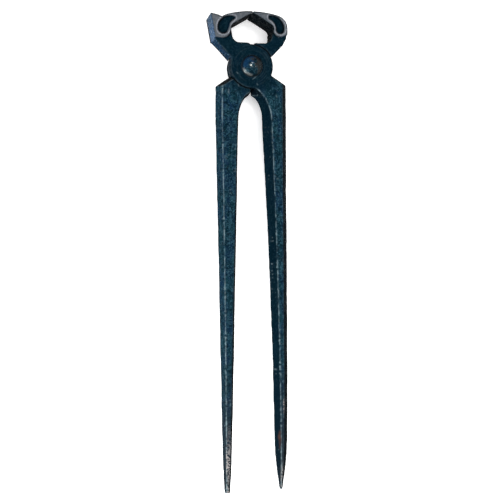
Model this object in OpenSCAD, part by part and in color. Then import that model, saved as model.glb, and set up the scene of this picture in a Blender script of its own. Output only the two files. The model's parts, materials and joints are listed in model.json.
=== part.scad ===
// Vineyard fencing pincers: two forged levers lapped on one domed rivet, with a hammer poll on one jaw.
// The tool lies on its back. +Y runs towards the jaws and +Z towards the rivet's dome.
// Shapes are drawn about the rivet's axis, and the whole is then moved so that the origin is at the
// middle of its underside.

/* [Overall] */
// Length from the jaw tops to the tip of the longer handle
overall_len = 300; // [280:5:320]
// Thickness of the arms, of the lapped joint and of the handles where they leave it
plate_t = 15; // [13:0.5:16]

/* [Jaws] */
// Length of the cutting edges, which is also the thickness of the jaws
jaw_w = 22; // [20:0.5:24]
// Distance from the rivet to the highest point of the jaws
jaw_top = 33.5; // [33:0.1:34]
// Half width across the jaws, without the hammer poll
jaw_half = 22; // [21.5:0.1:22.5]
// Radius of the rounded outer corner of each jaw
jaw_corner_r = 8; // [7:0.1:8.4]
// Thickness of each arm where it meets its jaw
arm_t = 18; // [16:0.5:20]
// Gap left between the cutting edges
bite_gap = 0.3; // [0.2:0.1:0.6]
// Depth of the forged hollow in each flat of the jaws
hollow_d = 2.6; // [1:0.1:3]

/* [Window between the jaws] */
// Height of the window's floor above the rivet
window_floor = 14.5; // [14.2:0.1:15]
// Half width of the window
window_half = 13.5; // [13:0.1:13.8]
// Radius of the window's lower corners
window_low_r = 4.8; // [4:0.1:5]
// Radius of the window's upper corners
window_high_r = 4.1; // [3.6:0.1:4.4]

/* [Hammer poll] */
// Distance from the rivet to the poll's outer corner, across the tool
poll_reach = 26.4; // [25:0.1:27]
// Height of the striking face
poll_h = 15.4; // [14:0.1:15.6]
// Lean of the striking face, in degrees
poll_lean = 10; // [6:0.5:12]

/* [Joint] */
// Radius of the round cheeks that lap on each other
cheek_r = 13.6; // [13.2:0.1:13.8]
// Gap between the lapped cheeks, and around them
lap_gap = 0.25; // [0.1:0.05:0.4]
// Radius of the rivet's shank
rivet_r = 4.9; // [4:0.1:5.5]
// Running clearance of the rivet in the hammer lever
rivet_play = 0.06; // [0.02:0.01:0.1]
// Radius of the rivet's domed head
head_r = 7; // [6.5:0.1:8]
// Height of the rivet's domed head
head_h = 3.3; // [2:0.1:3.5]
// Radius of the peened tail
tail_r = 6.3; // [6:0.1:7]
// Height of the peened tail
tail_h = 1.9; // [1:0.1:2.5]

/* [Handles] */
// Width of the left handle where it leaves the joint
left_w = 14.7; // [14:0.1:15.2]
// Width of the right handle where it leaves the joint
right_w = 15.7; // [14.5:0.1:16]
// Width to which the left handle tapers, before its tip is drawn to a point
left_end_w = 5.2; // [4.5:0.1:7]
// Width to which the right handle tapers
right_end_w = 8.2; // [6.5:0.1:9]
// Width of the left handle's blunt tip
left_tip_w = 3.6; // [2:0.1:4]
// Width of the right handle's tip
right_tip_w = 2; // [1:0.1:3]
// Part of the left handle's width taken by the ridge on its inner side, at the joint
left_ridge_in = 0.09; // [0.05:0.01:0.3]
// Part of the right handle's width taken by the ridge on its inner side, at the joint
right_ridge_in = 0.32; // [0.2:0.01:0.36]
// Part of either handle's width taken by the ridge on its outer side
ridge_out = 0.22; // [0.15:0.01:0.3]
// How much larger all of those parts are at the tip
ridge_gain = 0.13; // [0:0.01:0.15]
// Distance from the rivet to the crotch between the handles, at mid thickness
crotch_y = 17.6; // [16:0.1:18]
// Gap between the handles at the crotch
crotch_gap = 0.9; // [0.6:0.1:1.4]

/* [Hidden] */

$fn = 72;
steel = [0.12, 0.20, 0.26];
rivet_steel = [0.10, 0.16, 0.20];
half_t = plate_t / 2;

// Left handle, which is the plain lever's
left_mid = 14.7;                       // rivet to the handle's middle line, across the tool
left_drift = -0.4;                     // how far the middle line has moved outwards at the tip
left_taper = 1;                        // curve of the taper: 1 is straight
left_reach = overall_len - jaw_top;    // rivet to the tip
left_point = 26;                       // length of the point
left_shoulder = 6.3;                   // how far the shoulder sits below the rivet
left_arch = 16.6;                      // rivet to the top of the crotch's arch, on the flats

// Right handle, which is the hammer lever's
right_mid = 15.4;
right_drift = 4.6;
right_taper = 1.45;
right_reach = left_reach - 1.2;
right_point = 32;
right_shoulder = 3.9;
right_arch = 13.4;

// Both handles
arch_end = 33;                         // rivet to where the crotch's arch ends, on the flats
arch_mid_end = 31;                     // the same, at mid thickness
arch_round = 1.7;                      // roundness of the arch: 2 is an ellipse, and less is more pointed
arch_step = 7.5;                       // degrees of arch between two rings
shank_rings = 8;                       // rings along the straight of a handle
point_step = 15;                       // degrees of the point's curve between two rings
handle_start = 2;                      // rivet to the handle's first ring, inside the cheek
shoulder_x = 13.2;                     // where the shoulder's ridge leaves the cheek
shoulder_fall = 33;                    // slope of the shoulder, in degrees
shoulder_bevel = 16;                   // bevel of the shoulder to each flat, in degrees

// An arc as a list of points
function arc(c, r, a0, a1, n = 8) =
    [for (i = [0:n]) c + r * [cos(a0 + (a1 - a0) * i / n), sin(a0 + (a1 - a0) * i / n)]];

// ---- Handles: rings of six points, swept from the joint to the tip ----
left_handle = [left_mid, left_drift, left_w, left_end_w, left_tip_w, left_taper,
    left_reach, left_point, left_shoulder, left_ridge_in, left_arch];
right_handle = [right_mid, right_drift, right_w, right_end_w, right_tip_w, right_taper,
    right_reach, right_point, right_shoulder, right_ridge_in, right_arch];
function mid(h) = h[0];
function drift(h) = h[1];
function start_w(h) = h[2];
function end_w(h) = h[3];
function tip_w(h) = h[4];
function taper(h) = h[5];
function reach(h) = h[6];
function point_len(h) = h[7];
function shoulder_drop(h) = h[8];
function ridge_in(h) = h[9];
function arch_top(h) = h[10];
// d is the distance below the rivet, and along() runs from 0 at the joint to 1 at the tip.
function along(d, h) = max(0, d - arch_end) / (reach(h) - arch_end);
function drawn_w(d, h) = end_w(h) + (start_w(h) - end_w(h)) * pow(1 - along(d, h), taper(h));
function width_at(d, h) =
    let (w = drawn_w(d, h), left = (reach(h) - d) / point_len(h))
    left >= 1 ? w : tip_w(h) + (w - tip_w(h)) * sin(90 * max(0, left));
function middle_at(d, h) = mid(h) + drift(h) * sin(90 * along(d, h));
// How open the crotch's arch is at d, from 0 at its top to 1 where it ends
function arch_at(d, top, end) =
    d <= top ? 0 : d >= end ? 1 : pow(1 - pow((end - d) / (end - top), arch_round), 1 / arch_round);
function arched(x, d, top, end) = crotch_gap / 2 + (x - crotch_gap / 2) * arch_at(d, top, end);
function handle_ring(d, h) =
    let (w = width_at(d, h),
         x = middle_at(d, h),
         gain = ridge_gain * along(d, h),
         flat_in = arched(x - w * (0.5 - ridge_in(h) - gain), d, arch_top(h), arch_end),
         edge_in = arched(x - w / 2, d, crotch_y, arch_mid_end),
         flat_out = x + w * (0.5 - ridge_out - gain),
         t = w * half_t / start_w(h))
    [[x + w / 2, -d, 0], [flat_out, -d, t], [flat_in, -d, t],
     [edge_in, -d, 0], [flat_in, -d, -t], [flat_out, -d, -t]];
function ring_places(h) = concat(
    [handle_start],
    [for (a = [0:arch_step:90]) arch_end - (arch_end - arch_top(h)) * cos(a)],
    [for (i = [1:shank_rings]) arch_end + (reach(h) - point_len(h) - arch_end) * i / shank_rings],
    [for (a = [point_step:point_step:90]) reach(h) - point_len(h) * (1 - sin(a))]);

module handle(h) {
    places = ring_places(h);
    last = len(places) - 1;
    points = [for (d = places) each handle_ring(d, h)];
    sides = [for (i = [0:last - 1]) for (k = [0:5])
        let (a = 6 * i + k, b = 6 * i + (k + 1) % 6) each [[b, a, b + 6], [b + 6, a, a + 6]]];
    ends = [[for (k = [0:5]) k], [for (k = [5:-1:0]) 6 * last + k]];
    difference() {
        polyhedron(points = points, faces = concat(sides, ends), convexity = 4);
        for (s = [-1, 1])
            translate([shoulder_x, -shoulder_drop(h), 0])
                rotate([0, 0, -shoulder_fall])
                    rotate([s * shoulder_bevel, 0, 0])
                        translate([-jaw_half, 0, -jaw_half])
                            cube([3 * jaw_half, jaw_half, 2 * jaw_half]);
    }
}

// ---- Jaws: drawn for the right-hand jaw ----
tip = [bite_gap / 2, jaw_top - 0.6];
corner_c = [jaw_half - jaw_corner_r, jaw_top - jaw_corner_r - 1.9];
crown_rise = jaw_top - corner_c[1];
crown_run = corner_c[0] - tip[0] - 0.8;
crown_r = (pow(crown_run, 2) + pow(crown_rise, 2) - pow(jaw_corner_r, 2))
    / (2 * (crown_rise - jaw_corner_r));
crown_end = acos(crown_run / (crown_r - jaw_corner_r));
high_c = [window_half - window_high_r, 22.4];
low_c = [7.9, window_floor + window_low_r];
lip_rise = 2.8;                        // how far the jaw's outer side runs down past its lip's middle
heel = [21.8, 17.8];                   // the arm's outer side, from the jaw down to the cheek
elbow = [19.8, 13.6];
root = [12.5, 6.1];
neck = [[9, 2], [1.2, 10], [1.2, 13.6], [2, window_floor]];
swell_start = 12;                      // rivet to where the arm starts to thicken, and to where it ends
swell_end = 21;

// The jaw's flat, down to the round lip below the hollow
function jaw_outline(lip_c, lip_r) = concat(
    [tip],
    arc([tip[0] + 0.8, jaw_top - crown_r], crown_r, 90, crown_end, 6),
    arc(corner_c, jaw_corner_r, crown_end - 10, 0, 8),
    [[jaw_half, lip_c[1] - lip_rise]],
    arc(lip_c, lip_r, -50, -180, 8),
    arc(high_c, window_high_r, 0, 58, 5));

arm_outline = concat(
    arc(low_c, window_low_r, -90, 0, 6),
    [[window_half - 0.1, high_c[1]], [jaw_half - 0.2, high_c[1]], heel, elbow, root],
    neck);

// The arm's section along the tool: it thickens from the joint up to the jaw
arm_section = [[0, -half_t], [swell_start, -half_t], [swell_end, -arm_t / 2], [jaw_top, -arm_t / 2],
    [jaw_top, arm_t / 2], [swell_end, arm_t / 2], [swell_start, half_t], [0, half_t]];

module arm(outline) {
    intersection() {
        translate([0, 0, -jaw_w / 2])
            linear_extrude(jaw_w)
                polygon(outline);
        rotate([90, 0, 90])
            linear_extrude(poll_reach)
                polygon(arm_section);
    }
}

module jaw(lip_c, lip_r) {
    translate([0, 0, -jaw_w / 2])
        linear_extrude(jaw_w)
            polygon(jaw_outline(lip_c, lip_r));
}

// The comma-shaped hollow: a crescent between two circles, which ends in a round bowl
crescent_x = 10.2;                     // where the crescent starts, from the middle of the tool
crescent_c = [7.7, 22.4];              // the inner circle
crescent_r = 7.4;
module hollow(outer_c, outer_r, bowl_c, bowl_r) {
    linear_extrude(hollow_d + 1) {
        difference() {
            intersection() {
                translate(outer_c)
                    circle(outer_r);
                translate([crescent_x, bowl_c[1]])
                    square(jaw_half);
            }
            translate(crescent_c)
                circle(crescent_r);
        }
        translate(bowl_c)
            circle(bowl_r);
    }
}

module hollows(outer_c, outer_r, bowl_c, bowl_r) {
    for (s = [0, 1])
        mirror([0, 0, s])
            translate([0, 0, jaw_w / 2 - hollow_d])
                hollow(outer_c, outer_r, bowl_c, bowl_r);
}

// ---- Joint ----
// Half of the lap: the cheek fills the lower half, and the other lever's cheek turns in the upper half
module cheek() {
    translate([0, 0, -half_t])
        cylinder(r = cheek_r, h = half_t);
}

module lap_cut(bore_r) {
    translate([0, 0, -lap_gap / 2])
        cylinder(r = cheek_r + lap_gap, h = jaw_w);
    translate([0, 0, -jaw_w])
        cylinder(r = bore_r, h = 2 * jaw_w);
}

// ---- The three pieces, about the rivet's axis ----
// The round lip below each jaw's hollow, and the hollow's outer circle and bowl
plain_lip_c = [17.4, 22.3];
plain_lip_r = 4.4;
plain_outer_c = [11.9, 23.4];
plain_outer_r = 8;
plain_bowl_c = [17.4, 22.8];
plain_bowl_r = 2.5;
hammer_lip_c = [18.6, 21.4];
hammer_lip_r = 4.9;
hammer_outer_c = [14.3, 22.8];
hammer_outer_r = 7.5;
hammer_bowl_c = [18.6, 22.5];
hammer_bowl_r = 3.2;

module plain_forging() {
    difference() {
        union() {
            cheek();
            arm(arm_outline);
            jaw(plain_lip_c, plain_lip_r);
            mirror([1, 0, 0])
                handle(left_handle);
        }
        lap_cut(rivet_r);
        hollows(plain_outer_c, plain_outer_r, plain_bowl_c, plain_bowl_r);
    }
}

// Drawn with its jaw to the right, and turned over into place
module hammer_forging() {
    rotate([0, 180, 0])
        difference() {
            union() {
                cheek();
                arm(arm_outline);
                jaw(hammer_lip_c, hammer_lip_r);
                poll();
                mirror([1, 0, 0])
                    handle(right_handle);
            }
            lap_cut(rivet_r + rivet_play);
            hollows(hammer_outer_c, hammer_outer_r, hammer_bowl_c, hammer_bowl_r);
        }
}

// The hammer poll on the outside of the jaw, and the gusset that carries it down to the arm
module poll() {
    face_top = [poll_reach, jaw_top - 1.6];
    face_end = face_top - poll_h * [sin(poll_lean), cos(poll_lean)];
    saddle = [[16, 30.2], [19.3, 29.6], [21.6, 30.6]];
    inner_side = [[18.5, 16.3], [16, 20]];
    gusset_root = [12.7, 4.6];
    gusset_inner_side = [[14, 12], [20, 20]];
    translate([0, 0, -jaw_w / 2])
        linear_extrude(jaw_w)
            polygon(concat(saddle, [face_top, face_end], inner_side));
    arm(concat([face_end + [0, 1], face_end, gusset_root], gusset_inner_side));
}

module rivet() {
    dome_r = (head_r * head_r + head_h * head_h) / (2 * head_h);
    peen_r = (tail_r * tail_r + tail_h * tail_h) / (2 * tail_h);
    translate([0, 0, -half_t])
        cylinder(r = rivet_r, h = plate_t + 0.2);
    intersection() {
        translate([0, 0, half_t + 0.1 + head_h - dome_r])
            sphere(dome_r);
        translate([0, 0, half_t + 0.1])
            cylinder(r = head_r + 1, h = head_h + 1);
    }
    intersection() {
        translate([0, 0, -half_t - tail_h + peen_r])
            sphere(peen_r);
        translate([0, 0, -half_t - tail_h - 1])
            cylinder(r = tail_r + 1, h = tail_h + 1);
    }
}

// ---- Placing: the origin is at the middle of the underside ----
widest = max([for (d = ring_places(right_handle))
    middle_at(d, right_handle) + width_at(d, right_handle) / 2]);
placing = [(poll_reach - widest) / 2, overall_len / 2 - jaw_top, jaw_w / 2];

module hammer_lever() {
    color(steel)
        translate(placing)
            hammer_forging();
}

module plain_lever() {
    color(steel)
        translate(placing)
            plain_forging();
}

module pivot_rivet() {
    color(rivet_steel)
        translate(placing)
            rivet();
}

hammer_lever();
plain_lever();
pivot_rivet();
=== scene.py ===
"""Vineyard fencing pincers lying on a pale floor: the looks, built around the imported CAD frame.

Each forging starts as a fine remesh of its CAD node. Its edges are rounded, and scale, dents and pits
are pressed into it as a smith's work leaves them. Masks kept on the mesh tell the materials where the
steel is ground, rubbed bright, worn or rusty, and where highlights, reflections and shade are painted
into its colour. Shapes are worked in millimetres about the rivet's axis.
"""

import json
import math

import bpy
import numpy as np
from mathutils import Matrix, Vector
from mathutils.kdtree import KDTree


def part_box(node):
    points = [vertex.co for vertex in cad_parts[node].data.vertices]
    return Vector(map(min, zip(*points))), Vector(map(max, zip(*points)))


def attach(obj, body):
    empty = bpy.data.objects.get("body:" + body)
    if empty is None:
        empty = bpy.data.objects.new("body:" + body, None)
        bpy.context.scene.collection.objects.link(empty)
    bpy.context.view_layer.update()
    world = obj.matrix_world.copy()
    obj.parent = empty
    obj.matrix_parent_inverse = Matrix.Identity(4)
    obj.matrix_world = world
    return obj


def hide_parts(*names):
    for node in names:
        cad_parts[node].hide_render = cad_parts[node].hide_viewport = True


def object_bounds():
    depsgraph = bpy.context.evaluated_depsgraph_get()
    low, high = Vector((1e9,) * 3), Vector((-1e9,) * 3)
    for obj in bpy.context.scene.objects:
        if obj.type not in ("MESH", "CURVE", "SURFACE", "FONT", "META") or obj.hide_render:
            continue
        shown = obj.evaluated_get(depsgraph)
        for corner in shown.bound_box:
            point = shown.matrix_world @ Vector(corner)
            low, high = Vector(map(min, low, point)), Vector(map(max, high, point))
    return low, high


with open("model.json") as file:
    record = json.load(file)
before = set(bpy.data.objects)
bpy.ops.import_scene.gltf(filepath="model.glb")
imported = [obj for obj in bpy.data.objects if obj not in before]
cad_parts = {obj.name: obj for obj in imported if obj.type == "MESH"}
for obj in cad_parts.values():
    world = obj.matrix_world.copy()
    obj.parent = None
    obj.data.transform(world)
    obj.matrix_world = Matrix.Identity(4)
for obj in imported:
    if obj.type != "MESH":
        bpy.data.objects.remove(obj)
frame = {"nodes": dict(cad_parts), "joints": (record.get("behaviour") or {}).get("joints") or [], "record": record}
cad_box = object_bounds()
record = frame["record"]

# ---------------------------------------------------------------- sizes taken from the frame
MM = 0.001
pivot = np.array(frame["joints"][0]["pos_m"]) / MM
mounts = {m["name"]: m for m in record["mounts"]}
strike_point = np.array(mounts["striking_face"]["pos_m"]) / MM - pivot
strike_axis = np.array(mounts["striking_face"]["axis"])
low_corner, high_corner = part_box("plain_lever")
jaw_half_t = (high_corner.z - low_corner.z) / MM / 2
handle_end = low_corner.y / MM - pivot[1]
jaw_end = high_corner.y / MM - pivot[1]

# ---------------------------------------------------------------- sizes chosen here, in millimetres
CELL = 0.36      # spacing of the remesh over the head
HANDLE_FROM = -34.0                     # below this the remesh is drawn out along the handles
HANDLE_STRETCH = 2.0
RIVET_CELL = 0.16
JAW_FROM = 15.5                         # above this the steel is ground and its edges are crisp
CHEEK_R = 13.6                          # the round cheeks of the joint
PLATE_HALF_T = 7.5
HOLLOW_DEPTH = 2.6                      # the hollows in the flats of the jaws
HOLLOW_FROM = 19.2
RIM_W = 1.7                             # the width of the painted highlight round each hollow
WINDOW_MID = np.array([0.0, 22.0])      # the window between the closed jaws
CHARRED_LEN = 95.0                      # how far up the handles the scale is greyer
REFLECTION_TOWARD = math.radians(232)       # the side of the rivet's dome that holds the painted reflection
BROAD_DENT = 0.14                       # how deep the marks of the smith's work are
SCALE_DENT = 0.05
PIT_DEPTH = 0.13
WAVE_HEIGHT = 0.10
BEATEN_DENT = 0.08
RIVET_DENT = 0.16
NICK_DEPTH = 0.09
NICK_COUNT = 70                         # on each forging
BITE = 0.06                             # each cutting edge's distance from the middle when closed
SLICE = 4                               # a forging's thickness is measured in slices of this length
FAR = 99.0                              # a distance beyond the reach of any mask
FLOOR_GAP = 0.2                         # how far the floor lies below the tool


# ---------------------------------------------------------------- numbers
def smoothstep(value, low, high):
    t = np.clip((value - low) / (high - low), 0.0, 1.0)
    return t * t * (3.0 - 2.0 * t)


def lattice(i, j, k, seed):
    """A repeatable number from -1 to 1 at each whole-number point."""
    h = (i * 73856093) ^ (j * 19349663) ^ (k * 83492791) ^ (seed * 2654435761)
    h = (h ^ (h >> 13)) & 0xFFFFFFFF
    h = (h * 1274126177) & 0xFFFFFFFF
    h = (h ^ (h >> 16)) & 0xFFFF
    return h / 32767.5 - 1.0


def noise(points, size, seed):
    """Smooth noise from -1 to 1 whose features are about size apart."""
    p = points / size + 100.0   # an arbitrary shift of the lattice
    cell = np.floor(p).astype(np.int64)
    f = p - cell
    f = f * f * (3.0 - 2.0 * f)
    total = np.zeros(len(points))
    for di in (0, 1):
        for dj in (0, 1):
            for dk in (0, 1):
                share = np.abs(1 - di - f[:, 0]) * np.abs(1 - dj - f[:, 1]) * np.abs(1 - dk - f[:, 2])
                total += share * lattice(cell[:, 0] + di, cell[:, 1] + dj, cell[:, 2] + dk, seed)
    return total


def layered(points, size, seed, layers=3):
    """Noise at a few sizes, each half as large and half as strong as the one before."""
    total = sum(noise(points, size / 2**i, seed + i) / 2**i for i in range(layers))
    return total / (2.0 - 2.0 ** (1 - layers))


# ---------------------------------------------------------------- meshes
def coords(mesh):
    co = np.empty(3 * len(mesh.vertices))
    mesh.vertices.foreach_get("co", co)
    return co.reshape(-1, 3)


def set_coords(mesh, co):
    mesh.vertices.foreach_set("co", co.ravel())
    mesh.update()


def normals(mesh):
    n = np.empty(3 * len(mesh.vertices))
    mesh.vertex_normals.foreach_get("vector", n)
    return n.reshape(-1, 3)


def edge_ends(mesh):
    ends = np.empty(2 * len(mesh.edges), dtype=np.int64)
    mesh.edges.foreach_get("vertices", ends)
    return ends.reshape(-1, 2)


def neighbour_mean(values, ends):
    """The mean of each vertex's neighbours, for one column of numbers or several."""
    a, b = ends[:, 0], ends[:, 1]
    count = np.maximum(np.bincount(ends.ravel(), minlength=len(values)), 1)
    if values.ndim == 1:
        return (np.bincount(a, values[b], len(values)) + np.bincount(b, values[a], len(values))) / count
    return np.stack([neighbour_mean(values[:, k], ends) for k in range(values.shape[1])], axis=1)


def relax(co, ends, strength, rounds):
    """Rounds edges: each vertex moves towards the middle of its neighbours."""
    for _ in range(rounds):
        co = co + (0.5 * strength)[:, None] * (neighbour_mean(co, ends) - co)
    return co


def blur(values, ends, rounds):
    for _ in range(rounds):
        values = 0.5 * (values + neighbour_mean(values, ends))
    return values


def store(mesh, name, values):
    attribute = mesh.attributes.new(name, "FLOAT", "POINT")
    attribute.data.foreach_set("value", np.clip(values, 0.0, 1.0).astype(np.float32))


def drawn_out(co, factor):
    """Shortens the stretch below HANDLE_FROM by factor, or lengthens it again with 1 / factor."""
    moved = co.copy()
    below = moved[:, 1] < HANDLE_FROM
    moved[below, 1] = HANDLE_FROM + (moved[below, 1] - HANDLE_FROM) / factor
    return moved


def remeshed(node, name, cell, stretch=1.0):
    """A fine mesh of a CAD node, in millimetres about the rivet's axis."""
    start = frame["nodes"][node].data.copy()
    set_coords(start, drawn_out(coords(start) / MM - pivot, stretch))
    blank = bpy.data.objects.new(name + "_blank", start)
    bpy.context.scene.collection.objects.link(blank)
    remesh = blank.modifiers.new("remesh", "REMESH")
    remesh.mode = "VOXEL"
    remesh.voxel_size = cell
    remesh.use_smooth_shade = True
    fine = bpy.data.meshes.new_from_object(blank.evaluated_get(bpy.context.evaluated_depsgraph_get()))
    fine.name = name
    bpy.data.objects.remove(blank)
    set_coords(fine, drawn_out(coords(fine), 1.0 / stretch))
    for attribute in [a for a in fine.attributes if a.name.startswith(("sharp", "custom"))]:
        fine.attributes.remove(attribute)
    return fine


def placed(mesh, name, body, node, material):
    """Puts a finished mesh back into the row frame, as the piece that stands for a CAD node."""
    set_coords(mesh, (coords(mesh) + pivot) * MM)
    mesh.materials.clear()
    mesh.materials.append(material)
    piece = bpy.data.objects.new(name, mesh)
    bpy.context.scene.collection.objects.link(piece)
    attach(piece, body)
    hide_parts(node)
    return piece


# ---------------------------------------------------------------- the two forgings
def where_ground(co, normal):
    """1 on the ground flats of the jaws."""
    depth = np.abs(co[:, 2])
    flats = smoothstep(depth, jaw_half_t - 0.5, jaw_half_t - 0.2) * smoothstep(np.abs(normal[:, 2]), 0.6, 0.9)
    return flats * smoothstep(co[:, 1], JAW_FROM - 1, JAW_FROM)


def where_struck(co, normal):
    """1 on the hammer's striking face."""
    off = np.abs((co - strike_point) @ strike_axis)
    face = (1 - smoothstep(off, 0.25, 0.7)) * smoothstep(normal @ strike_axis, 0.55, 0.85)
    return face * smoothstep(co[:, 1], JAW_FROM - 2, JAW_FROM)


def where_rubbed(co):
    """1 on the faces of the half lap, where the two levers slide on each other."""
    radius = np.hypot(co[:, 0], co[:, 1])
    inside = 1 - smoothstep(radius, CHEEK_R, CHEEK_R + 0.6)
    return inside * (1 - smoothstep(np.abs(co[:, 2]), 0.4, 0.9))


def where_painted_shade_band(co, normal):
    """1 on the sides that face right or up the tool, and low on the sides that face left, where shade is painted.
    """
    slice_at = ((co[:, 1] - handle_end) / SLICE).astype(int)
    half_t = np.zeros(slice_at.max() + 1)
    np.maximum.at(half_t, slice_at, np.abs(co[:, 2]))
    away = smoothstep(np.maximum(normal[:, 0], normal[:, 1]), 0.35, 0.7)
    under = smoothstep(-co[:, 2] / half_t[slice_at], 0.45, 0.85) * smoothstep(-normal[:, 0], 0.3, 0.7)
    return np.maximum(away, under)


def rim_distance(co, normal):
    """How far each vertex lies, across the flat, from the nearest hollow on its own side."""
    floor_z = jaw_half_t - HOLLOW_DEPTH
    distance = np.full(len(co), FAR)
    for side in (-1, 1):
        depth = side * co[:, 2]
        in_hollow = (np.abs(depth - floor_z) < 0.25) & (side * normal[:, 2] > 0.8) & (co[:, 1] > HOLLOW_FROM)
        flat = (depth > floor_z + 0.3) & (co[:, 1] > HOLLOW_FROM - 4)
        tree = KDTree(int(in_hollow.sum()))
        for i, (x, y) in enumerate(co[in_hollow, :2]):
            tree.insert((x, y, 0.0), i)
        tree.balance()
        distance[flat] = [tree.find((x, y, 0.0))[2] for x, y in co[flat, :2]]
    return distance


def where_inner_shade(co, normal, inward_x):
    """1 on the sides that face the window between the jaws or the gap between the handles, where shade is painted.
    """
    to_window = WINDOW_MID - co[:, :2]
    to_window /= np.maximum(np.linalg.norm(to_window, axis=1), 1e-6)[:, None]
    jaws = (to_window * normal[:, :2]).sum(axis=1) * smoothstep(co[:, 1], 9, 13)
    handles = inward_x * normal[:, 0] * (1 - smoothstep(co[:, 1], -14, -9))
    return smoothstep(np.maximum(jaws, handles), 0.25, 0.75)


def scratches(co, normal, seed, count):
    """Shallow straight nicks, 1 to 4 mm long, over all but the lowest third of a forging's vertices."""
    rng = np.random.default_rng(seed)
    depth = np.zeros(len(co))
    order = np.argsort(co[:, 1], kind="stable")
    upper = order[len(order) // 3:]
    for start in rng.choice(upper, count):
        reach = rng.uniform(0.6, 2.2)
        turn = rng.normal(size=3)
        turn -= normal[start] * (turn @ normal[start])
        turn /= np.linalg.norm(turn)
        near = np.nonzero(np.abs(co - co[start]).max(axis=1) < reach + 1)[0]
        off = co[near] - co[start]
        run = np.clip(off @ turn, -reach, reach)
        away = np.linalg.norm(off - run[:, None] * turn, axis=1)
        taper = 1 - (run / reach) ** 2
        depth[near] = np.maximum(depth[near], taper * (1 - smoothstep(away, 0.1, 0.45)))
    return depth


def sharpened(co, closing_x):
    """Draws the cutting edge, which the remesh blunts, back out until it all but meets the other."""
    toward = co[:, 0] * closing_x
    blunt = -BITE - toward[co[:, 1] > jaw_end - 4].max()
    near = (1 - smoothstep(np.abs(toward), 0.5, 5.0)) * smoothstep(co[:, 1], jaw_end - 9, jaw_end - 5)
    co = co.copy()
    co[:, 0] += closing_x * blunt * near
    return co


def forging(node, name, body, seed, material, inward_x, worn_len, patches):
    mesh = remeshed(node, name, CELL, HANDLE_STRETCH)
    co, ends = coords(mesh), edge_ends(mesh)

    # Edges: soft where forged, crisper where ground, in the lap and at the points of the handles
    jaw = smoothstep(co[:, 1], JAW_FROM - 3, JAW_FROM + 1.5)
    lap = where_rubbed(co)
    point = 1 - smoothstep(co[:, 1], handle_end + 1, handle_end + 14)
    soft = (1 - 0.82 * jaw) * (1 - 0.75 * lap) * (1 - 0.7 * point)
    co = sharpened(relax(co, ends, soft, 6), -inward_x)
    set_coords(mesh, co)

    # The hammer's work: broad unevenness, scale, pits and nicks, kept off the ground and sliding faces
    normal = normals(mesh)
    ground = where_ground(co, normal)
    struck = where_struck(co, normal)
    radius = np.hypot(co[:, 0], co[:, 1])
    beside_cheek = 1 - smoothstep(radius, CHEEK_R + 0.3, CHEEK_R + 2.0)
    joint = beside_cheek * (1 - smoothstep(np.abs(co[:, 2]), 6.0, 7.0))
    rough = (1 - ground) * (1 - struck) * (1 - joint)
    rim_at = rim_distance(co, normal)
    nick = scratches(co, normal, seed, NICK_COUNT) * rough
    broad = BROAD_DENT * layered(co * [1, 0.45, 1], 7.0, seed)
    scale = SCALE_DENT * layered(co, 1.9, seed + 10)
    pits = -PIT_DEPTH * smoothstep(noise(co, 2.3, seed + 20), 0.3, 0.9)
    waves = WAVE_HEIGHT * noise(co * [0.3, 1, 0.3], 16.0, seed + 30) * (1 - point)
    co = co + normal * ((broad + scale + pits + waves - NICK_DEPTH * nick) * rough)[:, None]
    co = co - normal * (BEATEN_DENT * struck * smoothstep(noise(co, 2.6, seed + 40), 0.2, 0.8))[:, None]
    set_coords(mesh, co)

    store_masks(mesh, co, ends, seed, inward_x, worn_len, patches,
                radius, ground, struck, joint, lap, nick, rim_at)
    return placed(mesh, name, body, node, material)


def patch(co, above_tip, aside, half_len, half_w, seed):
    """A long ragged patch on the front of a handle, a given distance above its tip."""
    off_y = co[:, 1] - handle_end - above_tip
    middle = np.median(co[np.abs(off_y) < 2, 0])
    off_x = co[:, 0] - middle - aside
    shape = 1 - np.hypot(off_y / half_len, off_x / half_w) + 0.6 * layered(co, 1.6, seed)
    return smoothstep(shape, 0.0, 0.8) * smoothstep(co[:, 2], 0.3, 1.2)


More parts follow.
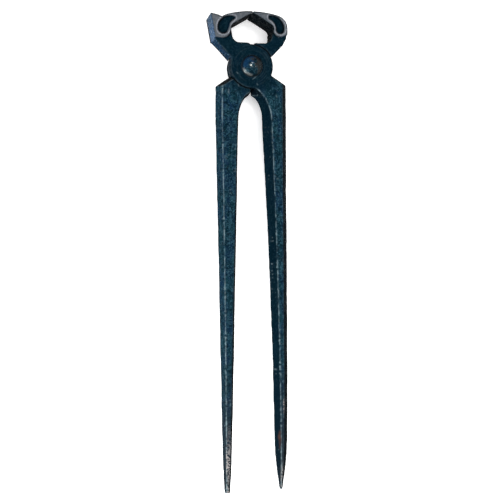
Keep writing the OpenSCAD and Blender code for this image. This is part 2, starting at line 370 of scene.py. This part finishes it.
def store_masks(mesh, co, ends, seed, inward_x, worn_len, patches,
                radius, ground, struck, joint, lap, nick, rim_at):
    """Keeps on a forging's mesh where the materials change."""
    normal = normals(mesh)
    bulge = ((co - neighbour_mean(co, ends)) * normal).sum(axis=1)
    bulge = blur(bulge, ends, 1)
    fine_noise = layered(co, 3.0, seed + 50)
    inner_shade = where_inner_shade(co, normal, inward_x)
    side = 1 - smoothstep(np.abs(normal[:, 2]), 0.3, 0.6)
    edge = smoothstep(bulge, 0.0065, 0.023)
    # Worn edges are brighter where they face left, a painted highlight; kept dull on the head, bar its ground
    # flats, and round the joint
    lit = 0.3 + 0.7 * smoothstep(-normal[:, 0], -0.1, 0.4)
    head = smoothstep(co[:, 1], -4, 4)
    kept_dark = 0.85 * np.maximum(head * (1 - ground), 1 - smoothstep(radius, CHEEK_R + 0.7, CHEEK_R + 2.4))
    store(mesh, "edge", edge * (0.8 + 0.2 * fine_noise) * (1 - 0.95 * side) * lit * (1 - kept_dark))
    store(mesh, "dip", smoothstep(-bulge, 0.004, 0.026))
    # A painted shade on the sides that face in, and on the rounded edges along the sides
    store(mesh, "inner_shade", np.maximum(blur(inner_shade, ends, 6), edge * side))
    # A painted shade: a dark band along the sides that face right or up, and low on the sides that face left
    outline = smoothstep(blur(where_painted_shade_band(co, normal), ends, 8), 0.10, 0.42)
    store(mesh, "outline", outline)
    store(mesh, "ground", blur(where_ground(co, normal), ends, 1))
    # A painted highlight round each hollow: a bright line at its edge and a fainter one further out, with a faint
    # band between
    lines = np.exp(-((rim_at - 0.3) / 0.24) ** 2) + 0.7 * np.exp(-((rim_at - RIM_W + 0.2) / 0.25) ** 2)
    store(mesh, "rim_highlight", lines + 0.1 * (1 - smoothstep(rim_at, RIM_W - 0.3, RIM_W + 0.3)))
    store(mesh, "struck", blur(struck, ends, 1))
    # The striking face grows darker towards the top
    struck_darker_up = smoothstep(co[:, 1] + 2.5 * fine_noise, strike_point[1] - 3, strike_point[1] + 7)
    store(mesh, "struck_darker_up", struck_darker_up)
    store(mesh, "rubbed", lap)
    store(mesh, "nick", nick * (0.6 + 0.4 * fine_noise) * (1 - inner_shade))
    outward = np.clip(-(normal[:, :2] * (WINDOW_MID - co[:, :2])).sum(axis=1) / 12, 0, 1)
    store(mesh, "flank", outward * side * smoothstep(co[:, 1], 2, 5) * (1 - joint))
    rings = noise(np.stack([radius * 1.6, 0.15 * co[:, 0], 0.15 * co[:, 1]], axis=1), 1.0, seed + 60)
    near_rivet = 1 - smoothstep(radius, CHEEK_R - 1, CHEEK_R + 1)
    store(mesh, "rings", near_rivet * smoothstep(rings, 0.1, 0.7) * smoothstep(np.abs(co[:, 2]), 6.5, 7.2))
    store(mesh, "head", np.maximum(1 - smoothstep(radius + 2 * fine_noise, 13, 24), head))
    worn = 1 - smoothstep(co[:, 1] + 6 * fine_noise, handle_end + 0.3 * worn_len, handle_end + worn_len)
    store(mesh, "charcoal", 1 - smoothstep(co[:, 1], handle_end + 10, handle_end + CHARRED_LEN))
    streaky = smoothstep(layered(co * [1, 0.3, 1], 1.1, seed + 90), -0.5, 0.3)
    store(mesh, "worn", worn * (0.2 + 0.8 * streaky) * smoothstep(np.abs(normal[:, 2]), 0.55, 0.9))
    for mask in ("rust", "scuff"):
        store(mesh, mask, patch(co, *patches[mask], seed + 70) if mask in patches else np.zeros(len(co)))


# ---------------------------------------------------------------- the rivet
def rivet(material):
    """Dented heads, with a painted reflection in a crescent to one side of the dome, a painted highlight in specks
    on its crown, painted brown and blue reflections and a painted shade round the heads' edges.
    """
    mesh = remeshed("pivot_rivet", "rivet", RIVET_CELL)
    co, ends = coords(mesh), edge_ends(mesh)
    co = relax(co, ends, np.ones(len(co)), 6)
    set_coords(mesh, co)
    normal = normals(mesh)
    heads = smoothstep(np.abs(co[:, 2]), PLATE_HALF_T + 0.5, PLATE_HALF_T + 1.2)
    dents = -RIVET_DENT * smoothstep(noise(co, 3.4, 71), -0.1, 0.7) + 0.04 * layered(co, 1.4, 72)
    co = co + normal * (dents * heads)[:, None]
    set_coords(mesh, co)
    bulge = blur(((co - neighbour_mean(co, ends)) * normals(mesh)).sum(axis=1), ends, 4)
    store(mesh, "edge", smoothstep(bulge, 0.0015, 0.006))
    store(mesh, "dip", smoothstep(-bulge, 0.0005, 0.004))
    radius = np.hypot(co[:, 0], co[:, 1])
    # A painted reflection in a crescent on one side of the dome
    along = co[:, 0] * math.cos(REFLECTION_TOWARD) + co[:, 1] * math.sin(REFLECTION_TOWARD)
    toward = along / np.maximum(radius, 0.1)
    reflection_ring = smoothstep(radius, 4.7, 5.5) * (1 - smoothstep(radius, 6.1, 6.6))
    crescent = smoothstep(toward, 0.7, 0.95) * reflection_ring
    front = smoothstep(co[:, 2], 7, 8)
    store(mesh, "crescent", crescent * front)
    # A painted highlight: bright specks on the crown of the dome
    specks = smoothstep(noise(co, 0.9, 73), 0.1, 0.5) * (1 - smoothstep(radius, 0.8, 2.4))
    store(mesh, "crown", specks * front)
    # Painted reflections: a brown patch to the right and a blue one to the upper left of the heads
    store(mesh, "brown", smoothstep(0.8 * co[:, 0] + 0.3 * co[:, 1] + 2.5 * noise(co, 2.0, 74), 0.5, 3.0))
    store(mesh, "blue", smoothstep(co[:, 1] - co[:, 0] + 3 * noise(co, 1.8, 75), 1.0, 4.5))
    # A painted shade round the edge of the heads
    store(mesh, "skirt", smoothstep(radius, 5.2, 6.2))
    return placed(mesh, "rivet", "plain_side", "pivot_rivet", material)


# ---------------------------------------------------------------- materials
class Nodes:
    """A material's nodes, with short calls that add one and link it."""

    def __init__(self, name):
        self.material = bpy.data.materials.new(name)
        self.material.use_nodes = True
        self.tree = self.material.node_tree
        self.shader = self.tree.nodes["Principled BSDF"]
        self.place = self.add("ShaderNodeTexCoord").outputs["Object"]

    def add(self, kind, **settings):
        node = self.tree.nodes.new(kind)
        for key, value in settings.items():
            setattr(node, key, value)
        return node

    def link(self, source, target):
        self.tree.links.new(source, target)

    def mask(self, name):
        return self.add("ShaderNodeAttribute", attribute_name=name).outputs["Fac"]

    def stretched(self, x, y, z):
        node = self.add("ShaderNodeMapping")
        node.inputs["Scale"].default_value = (x, y, z)
        self.link(self.place, node.inputs["Vector"])
        return node.outputs["Vector"]

    def noise(self, size_mm, detail=3.0, roughness=0.55, vector=None):
        node = self.add("ShaderNodeTexNoise")
        node.inputs["Scale"].default_value = 1.0 / (size_mm * MM)
        node.inputs["Detail"].default_value = detail
        node.inputs["Roughness"].default_value = roughness
        self.link(self.place if vector is None else vector, node.inputs["Vector"])
        return node.outputs["Fac"]

    def span(self, value, low, high, to_low=0.0, to_high=1.0):
        node = self.add("ShaderNodeMapRange", interpolation_type="SMOOTHSTEP")
        for key, number in zip(("From Min", "From Max", "To Min", "To Max"), (low, high, to_low, to_high)):
            node.inputs[key].default_value = number
        self.link(value, node.inputs["Value"])
        return node.outputs["Result"]

    def calc(self, operation, a, b):
        node = self.add("ShaderNodeMath", operation=operation)
        for socket, value in zip(node.inputs, (a, b)):
            if isinstance(value, (int, float)):
                socket.default_value = value
            else:
                self.link(value, socket)
        return node.outputs["Value"]

    # A Mix node's inputs 6 and 7 are its two colours, and its inputs 2 and 3 its two numbers
    def mix(self, share, a, b):
        """A colour between a and b; each is a colour or a socket."""
        node = self.add("ShaderNodeMix", data_type="RGBA")
        self.link(share, node.inputs["Factor"])
        for socket, value in ((node.inputs[6], a), (node.inputs[7], b)):
            if isinstance(value, tuple):
                socket.default_value = (*value, 1.0)
            else:
                self.link(value, socket)
        return node.outputs[2]

    def blend(self, share, a, b):
        """A number between a and b; each is a number or a socket."""
        node = self.add("ShaderNodeMix", data_type="FLOAT")
        self.link(share, node.inputs["Factor"])
        for socket, value in ((node.inputs[2], a), (node.inputs[3], b)):
            if isinstance(value, (int, float)):
                socket.default_value = value
            else:
                self.link(value, socket)
        return node.outputs[0]

    def bump(self, height, depth_mm, normal=None):
        node = self.add("ShaderNodeBump")
        node.inputs["Strength"].default_value = 1.0
        node.inputs["Distance"].default_value = depth_mm * MM
        self.link(height, node.inputs["Height"])
        if normal is not None:
            self.link(normal, node.inputs["Normal"])
        return node.outputs["Normal"]


BLUE_BLACK = (0.0006, 0.0056, 0.0102)
SLATE = (0.0036, 0.0145, 0.033)
TEAL = (0.0028, 0.0175, 0.025)
SCALE_GREY = (0.015, 0.043, 0.060)
SCALE_PALE = (0.034, 0.082, 0.108)
FLANK_BLUE = (0.0042, 0.021, 0.050)
FLANK_LIGHT = (0.055, 0.12, 0.175)
RUST = (0.046, 0.023, 0.017)
# Colours of the painted reflections on the rivet's heads
BROWN_REFLECTION = (0.018, 0.016, 0.014)
BLUE_REFLECTION = (0.003, 0.018, 0.048)
# Pale steel for the rivet's worn edges and for its painted highlight and painted reflection
RIVET_BARE_AND_HIGHLIGHT = (0.30, 0.31, 0.29)
# Bare steel of worn edges and nicks, also the colour of the painted highlight on edges that face left
BARE_AND_HIGHLIGHT = (0.24, 0.33, 0.36)
WORN_GREY = (0.28, 0.255, 0.242)
GROUND = (0.052, 0.056, 0.060)
GROUND_DARK = (0.022, 0.026, 0.031)
# The colour of the painted highlight round the hollows
GROUND_RIM_HIGHLIGHT = (0.128, 0.134, 0.150)
STRUCK = (0.048, 0.085, 0.165)
STRUCK_DARK = (0.008, 0.018, 0.038)
CHARCOAL = (0.010, 0.014, 0.019)
# The black of the painted shade: on sides that face in, in the band along the sides and round the rivet's heads
SHADE_BLACK = (0.0020, 0.0030, 0.0040)
BLUED_SHEEN = (0.35, 0.8, 1.0)
WHITE = (1.0, 1.0, 1.0)
FLOOR_DULL = (0.86, 0.86, 0.855)
FLOOR_PALE = (0.90, 0.90, 0.895)


def forged_steel():
    n = Nodes("forged_steel")
    edge, dip, inner_shade = n.mask("edge"), n.mask("dip"), n.mask("inner_shade")
    ground, rim_highlight, struck = n.mask("ground"), n.mask("rim_highlight"), n.mask("struck")
    rubbed, worn, nick = n.mask("rubbed"), n.mask("worn"), n.mask("nick")
    rings, head, flank = n.mask("rings"), n.mask("head"), n.mask("flank")
    rust, scuff = n.mask("rust"), n.mask("scuff")

    # Forge scale: slate and teal over blue-black, with greyer flakes, spots of rust and darker dips
    cloud = n.noise(11.0, 4.0)
    streak = n.noise(1.8, 4.0, 0.65, n.stretched(1.0, 0.28, 1.0))
    flake = n.noise(2.2, 5.0, 0.7)
    grain = n.noise(1.05, 2.0, 0.6)
    hue = n.noise(5.0, 3.0, 0.6, n.stretched(1.0, 0.5, 1.0))
    colour = n.mix(n.span(hue, 0.42, 0.58), SLATE, TEAL)
    colour = n.mix(n.span(cloud, 0.35, 0.68, 0.5, 0.0), colour, BLUE_BLACK)
    colour = n.mix(n.span(streak, 0.5, 0.62, 0.0, 0.6), colour, SCALE_GREY)
    colour = n.mix(n.span(grain, 0.57, 0.63), colour, SCALE_GREY)
    colour = n.mix(n.span(flake, 0.40, 0.5, 0.95, 0.0), colour, BLUE_BLACK)
    colour = n.mix(n.span(n.noise(0.7, 1.0), 0.60, 0.70, 0.0, 0.6), colour, SCALE_PALE)
    spots = n.calc("MULTIPLY", n.span(n.noise(5.0, 6.0, 0.7), 0.60, 0.72), n.span(grain, 0.4, 0.65))
    colour = n.mix(n.calc("MULTIPLY", spots, 0.35), colour, RUST)
    colour = n.mix(n.calc("MULTIPLY", dip, 0.6), colour, BLUE_BLACK)
    colour = n.mix(n.calc("MULTIPLY", head, 0.84), colour, BLUE_BLACK)
    colour = n.mix(n.calc("MULTIPLY", flank, n.span(flake, 0.35, 0.6, 0.1, 1.0)), colour, FLANK_BLUE)
    glint = n.noise(1.3, 3.0, 0.6, n.stretched(1.0, 1.0, 0.3))
    glints = n.calc("MULTIPLY", flank, n.span(glint, 0.58, 0.66))
    colour = n.mix(glints, colour, FLANK_LIGHT)
    colour = n.mix(n.calc("MULTIPLY", n.mask("charcoal"), 0.85), colour, CHARCOAL)
    # Painted shade on the sides that face in, between the jaws and between the handles, blacker on the head
    colour = n.mix(n.calc("MULTIPLY", inner_shade, 0.82), colour, n.mix(head, BLUE_BLACK, SHADE_BLACK))

    # Wear: edges rubbed to bare steel in broken lines, with a painted highlight where they face left, nicks,
    # turning marks and grey ends to the handles
    broken = n.span(n.noise(2.6, 5.0, 0.65, n.stretched(1.0, 0.4, 1.0)), 0.34, 0.6)
    bare_edge_and_highlight = n.calc("MULTIPLY", edge, broken)
    bright = n.calc("MAXIMUM", n.calc("MULTIPLY", bare_edge_and_highlight, 0.5), n.calc("MULTIPLY", nick, 0.25))
    bright = n.calc("MAXIMUM", bright, n.calc("MULTIPLY", rings, 0.025))
    colour = n.mix(bright, colour, BARE_AND_HIGHLIGHT)
    speckle = n.calc("MULTIPLY", worn, n.span(grain, 0.44, 0.56, 0.0, 1.0))
    speckle = n.calc("MULTIPLY", speckle, n.calc("SUBTRACT", 1.0, n.calc("MULTIPLY", inner_shade, 0.8)))
    colour = n.mix(n.calc("MULTIPLY", speckle, 0.9), colour, WORN_GREY)
    colour = n.mix(n.calc("MULTIPLY", rust, n.span(flake, 0.3, 0.6, 0.4, 1.0)), colour, RUST)
    colour = n.mix(n.calc("MULTIPLY", scuff, n.span(grain, 0.4, 0.6, 0.1, 0.8)), colour, WORN_GREY)

    # Ground flats with the wheel's lines, a painted highlight round the hollows, and the bluer striking face
    lines = n.noise(1.0, 4.0, 0.6, n.stretched(2.6, 0.35, 1.0))
    blotch = n.noise(3.5, 4.0, 0.65)
    ground_colour = n.mix(n.span(lines, 0.35, 0.65), GROUND_DARK, GROUND)
    ground_colour = n.mix(n.span(blotch, 0.45, 0.7, 0.0, 0.7), ground_colour, GROUND_DARK)
    rim_highlight_share = n.calc("MULTIPLY", rim_highlight, n.span(blotch, 0.3, 0.6, 1.0, 0.6))
    ground_colour = n.mix(rim_highlight_share, ground_colour, GROUND_RIM_HIGHLIGHT)
    colour = n.mix(ground, colour, ground_colour)
    dents = n.noise(1.8, 3.0, 0.6)
    face = n.mix(n.span(dents, 0.42, 0.6), STRUCK, STRUCK_DARK)
    # Darker towards the top of the striking face
    face = n.mix(n.calc("MULTIPLY", n.mask("struck_darker_up"), 0.8), face, STRUCK_DARK)
    colour = n.mix(struck, colour, face)
    colour = n.mix(n.calc("MULTIPLY", rubbed, 0.8), colour, GROUND)
    # Painted shade: a dark band along the sides that face right or up, and low on those that face left
    colour = n.mix(n.calc("MULTIPLY", n.mask("outline"), 0.93), colour, SHADE_BLACK)
    n.link(colour, n.shader.inputs["Base Color"])

    # Shine, bare metal and the fine relief of the skin
    shine = n.calc("MAXIMUM", bright, n.calc("MULTIPLY", worn, 0.4))
    rough = n.span(flake, 0.3, 0.7, 0.44, 0.68)
    rough = n.blend(shine, rough, 0.36)
    rough = n.blend(ground, rough, n.span(lines, 0.3, 0.7, 0.32, 0.48))
    rough = n.blend(struck, rough, 0.30)
    n.link(rough, n.shader.inputs["Roughness"])

    metal = n.blend(ground, n.calc("MULTIPLY", bright, 0.9), 0.85)
    metal = n.blend(struck, metal, 0.1)
    metal = n.blend(n.mask("outline"), metal, 0.0)
    n.link(metal, n.shader.inputs["Metallic"])
    n.link(n.span(grain, 0.5, 0.7, 0.0, 0.04), n.shader.inputs["Specular IOR Level"])
    n.link(n.mix(metal, BLUED_SHEEN, WHITE), n.shader.inputs["Specular Tint"])

    skin = n.calc("ADD", n.calc("MULTIPLY", flake, 0.6), n.calc("MULTIPLY", grain, 0.4))
    not_ground = n.calc("SUBTRACT", 1.0, ground)
    normal = n.bump(n.calc("MULTIPLY", skin, not_ground), 0.22)
    normal = n.bump(n.calc("MULTIPLY", lines, ground), 0.03, normal)
    n.link(normal, n.shader.inputs["Normal"])
    return n.material


def rivet_steel():
    n = Nodes("rivet_steel")
    edge, dip, crescent, crown = n.mask("edge"), n.mask("dip"), n.mask("crescent"), n.mask("crown")
    flake = n.noise(1.2, 5.0, 0.7)
    # Painted reflections: blue to the upper left, brown to the right
    colour = n.mix(n.calc("MULTIPLY", n.mask("blue"), 0.9), BLUE_BLACK, BLUE_REFLECTION)
    colour = n.mix(n.calc("MULTIPLY", n.mask("brown"), 0.8), colour, BROWN_REFLECTION)
    colour = n.mix(n.span(flake, 0.5, 0.65, 0.0, 0.5), colour, SCALE_GREY)
    colour = n.mix(n.calc("MULTIPLY", dip, 0.6), colour, BLUE_BLACK)
    # Painted shade round the edge of the heads
    colour = n.mix(n.calc("MULTIPLY", n.mask("skirt"), 0.85), colour, SHADE_BLACK)
    # Painted reflection in the crescent, painted highlight in the crown's specks, and worn edges, all in pale
    # steel
    bright = n.calc("MULTIPLY", crescent, n.span(flake, 0.35, 0.6, 0.1, 0.32))
    bright = n.calc("MAXIMUM", bright, n.calc("MULTIPLY", edge, 0.06))
    bright = n.calc("MAXIMUM", bright, n.calc("MULTIPLY", crown, n.span(flake, 0.4, 0.55, 0.2, 0.9)))
    colour = n.mix(bright, colour, RIVET_BARE_AND_HIGHLIGHT)
    n.link(colour, n.shader.inputs["Base Color"])
    n.link(n.span(flake, 0.3, 0.7, 0.16, 0.32), n.shader.inputs["Roughness"])
    n.link(n.calc("MULTIPLY", bright, 0.9), n.shader.inputs["Metallic"])
    n.shader.inputs["Specular IOR Level"].default_value = 0.10
    n.shader.inputs["Specular Tint"].default_value = (*BLUED_SHEEN, 1.0)
    n.link(n.bump(flake, 0.08), n.shader.inputs["Normal"])
    return n.material


def floor_material():
    n = Nodes("floor")
    n.link(n.mix(n.noise(90.0, 3.0), FLOOR_DULL, FLOOR_PALE), n.shader.inputs["Base Color"])
    n.shader.inputs["Roughness"].default_value = 0.9
    n.shader.inputs["Specular IOR Level"].default_value = 0.1
    n.shader.inputs["Emission Color"].default_value = (1.0, 1.0, 1.0, 1.0)
    n.shader.inputs["Emission Strength"].default_value = 0.36
    return n.material


# ---------------------------------------------------------------- stage
def floor():
    half = 3.0
    mesh = bpy.data.meshes.new("floor")
    corners = [(-half, -half, 0), (half, -half, 0), (half, half, 0), (-half, half, 0)]
    mesh.from_pydata(corners, [], [(0, 1, 2, 3)])
    mesh.materials.append(floor_material())
    plane = bpy.data.objects.new("floor", mesh)
    plane.location.z = cad_box[0][2] - FLOOR_GAP * MM
    bpy.context.scene.collection.objects.link(plane)


def area_light(name, place, size, power, colour=(1, 1, 1)):
    light = bpy.data.lights.new(name, "AREA")
    light.shape = "DISK"
    light.size = size
    light.energy = power
    light.color = colour
    lamp = bpy.data.objects.new(name, light)
    lamp.location = place
    aim = Vector((0, 0.02, 0))
    lamp.rotation_euler = (aim - Vector(place)).to_track_quat("-Z", "Y").to_euler()
    bpy.context.scene.collection.objects.link(lamp)


def lights():
    world = bpy.data.worlds.new("studio")
    world.use_nodes = True
    world.node_tree.nodes["Background"].inputs["Color"].default_value = (0.93, 0.95, 1.0, 1.0)
    world.node_tree.nodes["Background"].inputs["Strength"].default_value = 0.55
    bpy.context.scene.world = world
    area_light("key", (-0.75, -0.45, 0.65), 0.5, 12.0)
    area_light("spark", (0.155, 0.265, 0.85), 0.10, 0.8)
    area_light("top", (0.05, 0.10, 1.35), 1.2, 15.0)
    area_light("fill", (0.8, -0.35, 0.8), 0.9, 3.0)
    bpy.context.scene.view_settings.view_transform = "Standard"


# ---------------------------------------------------------------- camera
def camera():
    """Looks down on the tool from a little to its left, from arm's length."""
    distance = 0.7055
    aim = Vector((0.0012, 0.0019, jaw_half_t * MM))
    back = Vector((-0.18, -0.011, 1.0)).normalized()
    right = Vector((0, 1, 0)).cross(back).normalized()
    up = back.cross(right)
    data = bpy.data.cameras.new("camera")
    data.lens = 80.8
    data.sensor_width = 36.0
    data.clip_start = 0.01
    view = bpy.data.objects.new("camera", data)
    turn = Matrix((right, up, back)).transposed().to_4x4()
    view.matrix_world = Matrix.Translation(aim + back * distance) @ turn
    bpy.context.scene.collection.objects.link(view)
    bpy.context.scene.camera = view


# ---------------------------------------------------------------- the build
camera()
lights()
floor()
steel = forged_steel()
# Each patch's height above the tip, distance aside, half length and half width
marks = {"rust": (34.0, -1.4, 7.0, 1.1), "scuff": (54.0, 1.6, 6.0, 1.2)}
forging("hammer_lever", "hammer_side_forging", "hammer_side", seed=3, material=steel,
        inward_x=-1, worn_len=22.0, patches=marks)
forging("plain_lever", "plain_side_forging", "plain_side", seed=107, material=steel,
        inward_x=1, worn_len=48.0, patches={})
rivet(rivet_steel())
